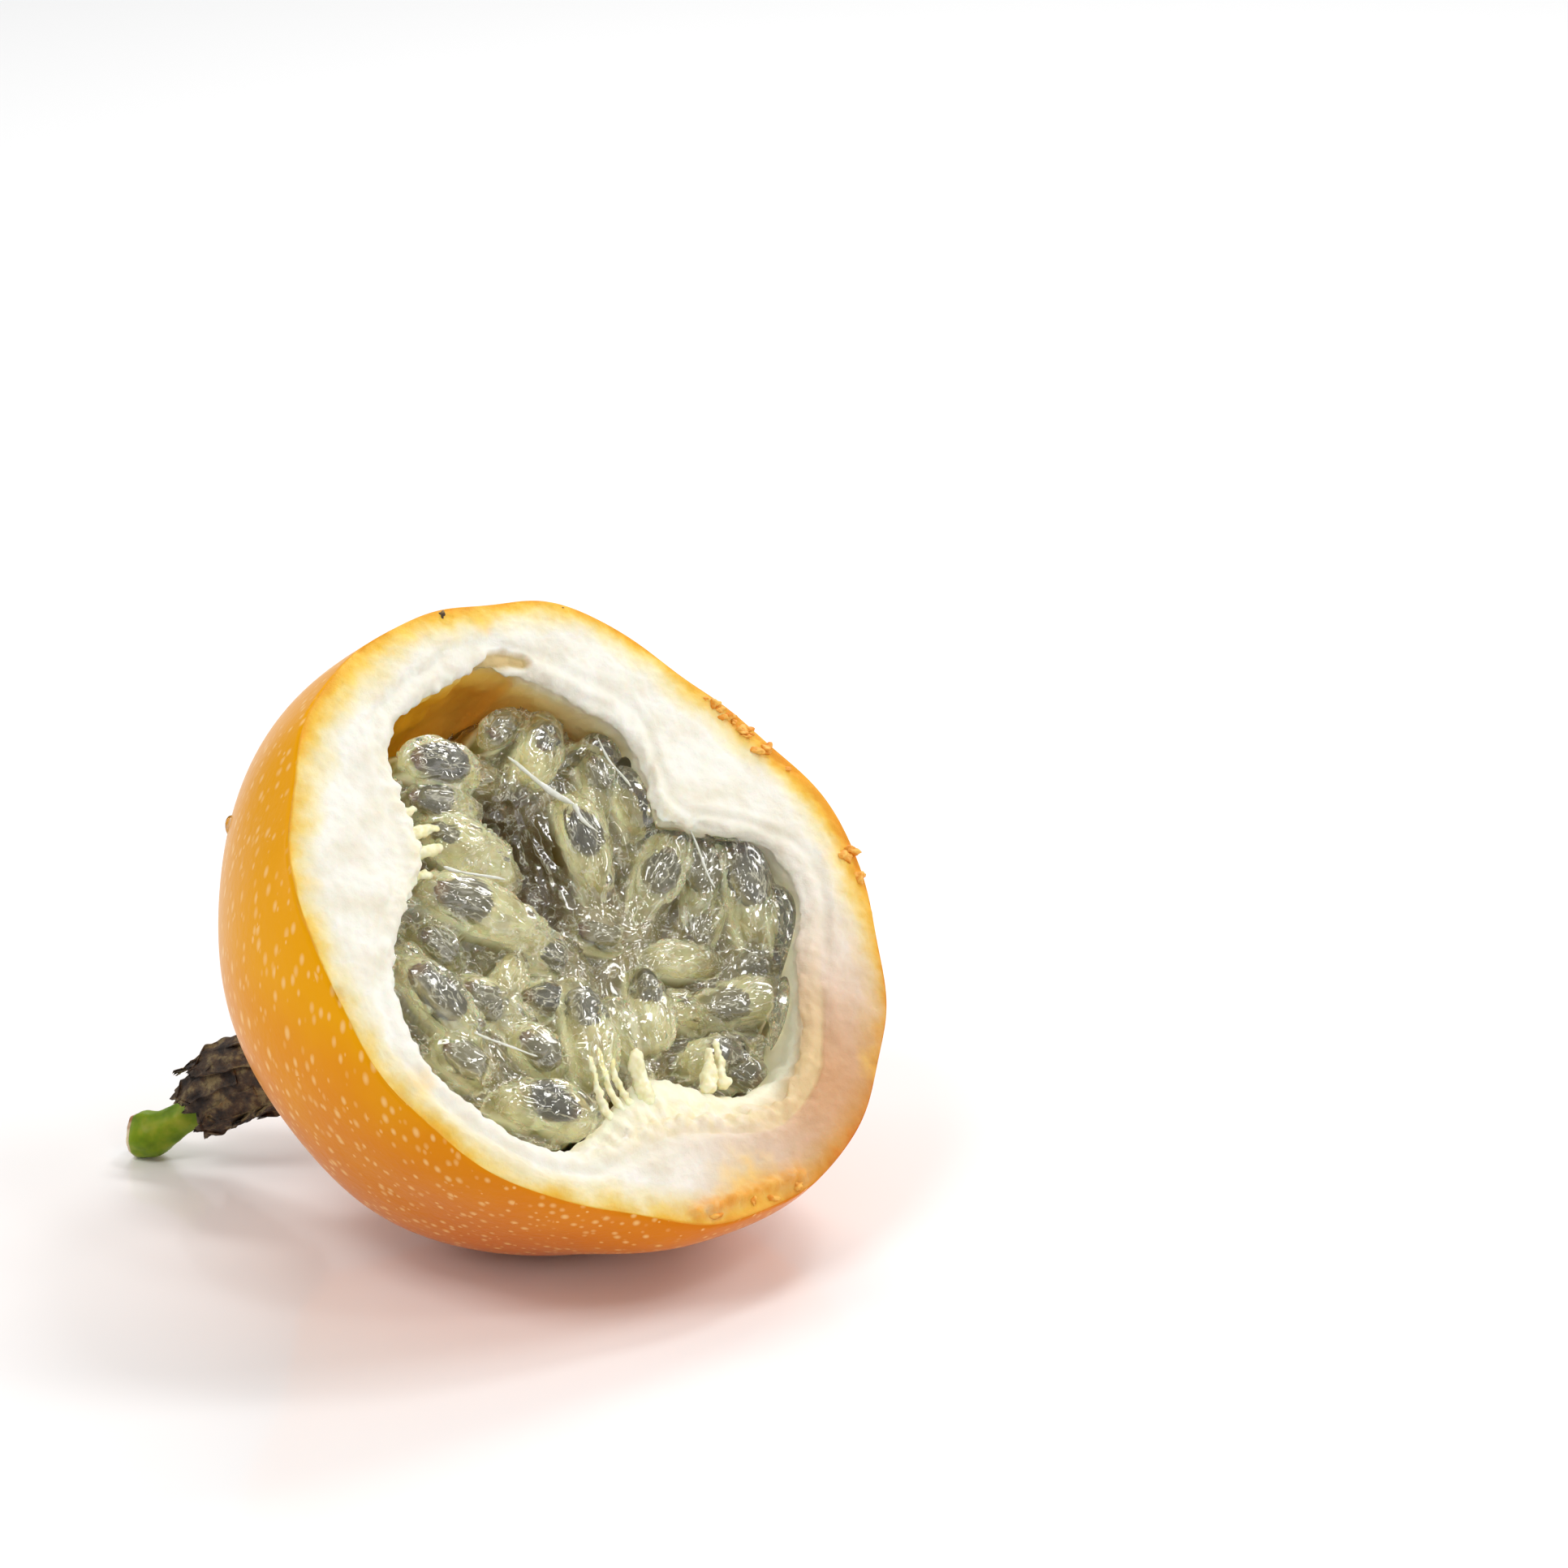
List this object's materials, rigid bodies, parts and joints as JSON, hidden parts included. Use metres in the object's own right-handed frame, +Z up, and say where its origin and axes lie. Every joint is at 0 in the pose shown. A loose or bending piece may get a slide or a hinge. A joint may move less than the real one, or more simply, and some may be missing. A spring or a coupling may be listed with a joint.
{
  "type": "passion fruit half",
  "caption": "Half of an orange sweet granadilla lying on its rind, its cut face up: white pith round a cavity of clear seed sacs, with a withered flower base and short green stem.",
  "frame": {"origin": "on the small flat spot that the rind rests on, straight below the middle of the body", "axes": "+Z up; the cut face looks up, forward (-Y) and to the right (+X); the stem points to the left (-X), back and down"},
  "size_m": [0.0776, 0.0672, 0.0607],
  "materials": {
    "rind": "waxy orange skin with pale specks",
    "pith": "dry white spongy pith, yellow near the skin",
    "gel": "wet greenish grey clear gel",
    "seed": "dark slate seed under wet gel",
    "calyx": "withered, papery, dark brown",
    "stem": "fresh green stem with a pale dry cut"
  },
  "bodies": {
    "root": {"peel": "rind", "pulp": "gel", "dried_calyx": "calyx", "stem": "stem"}
  },
  "joints": []
}
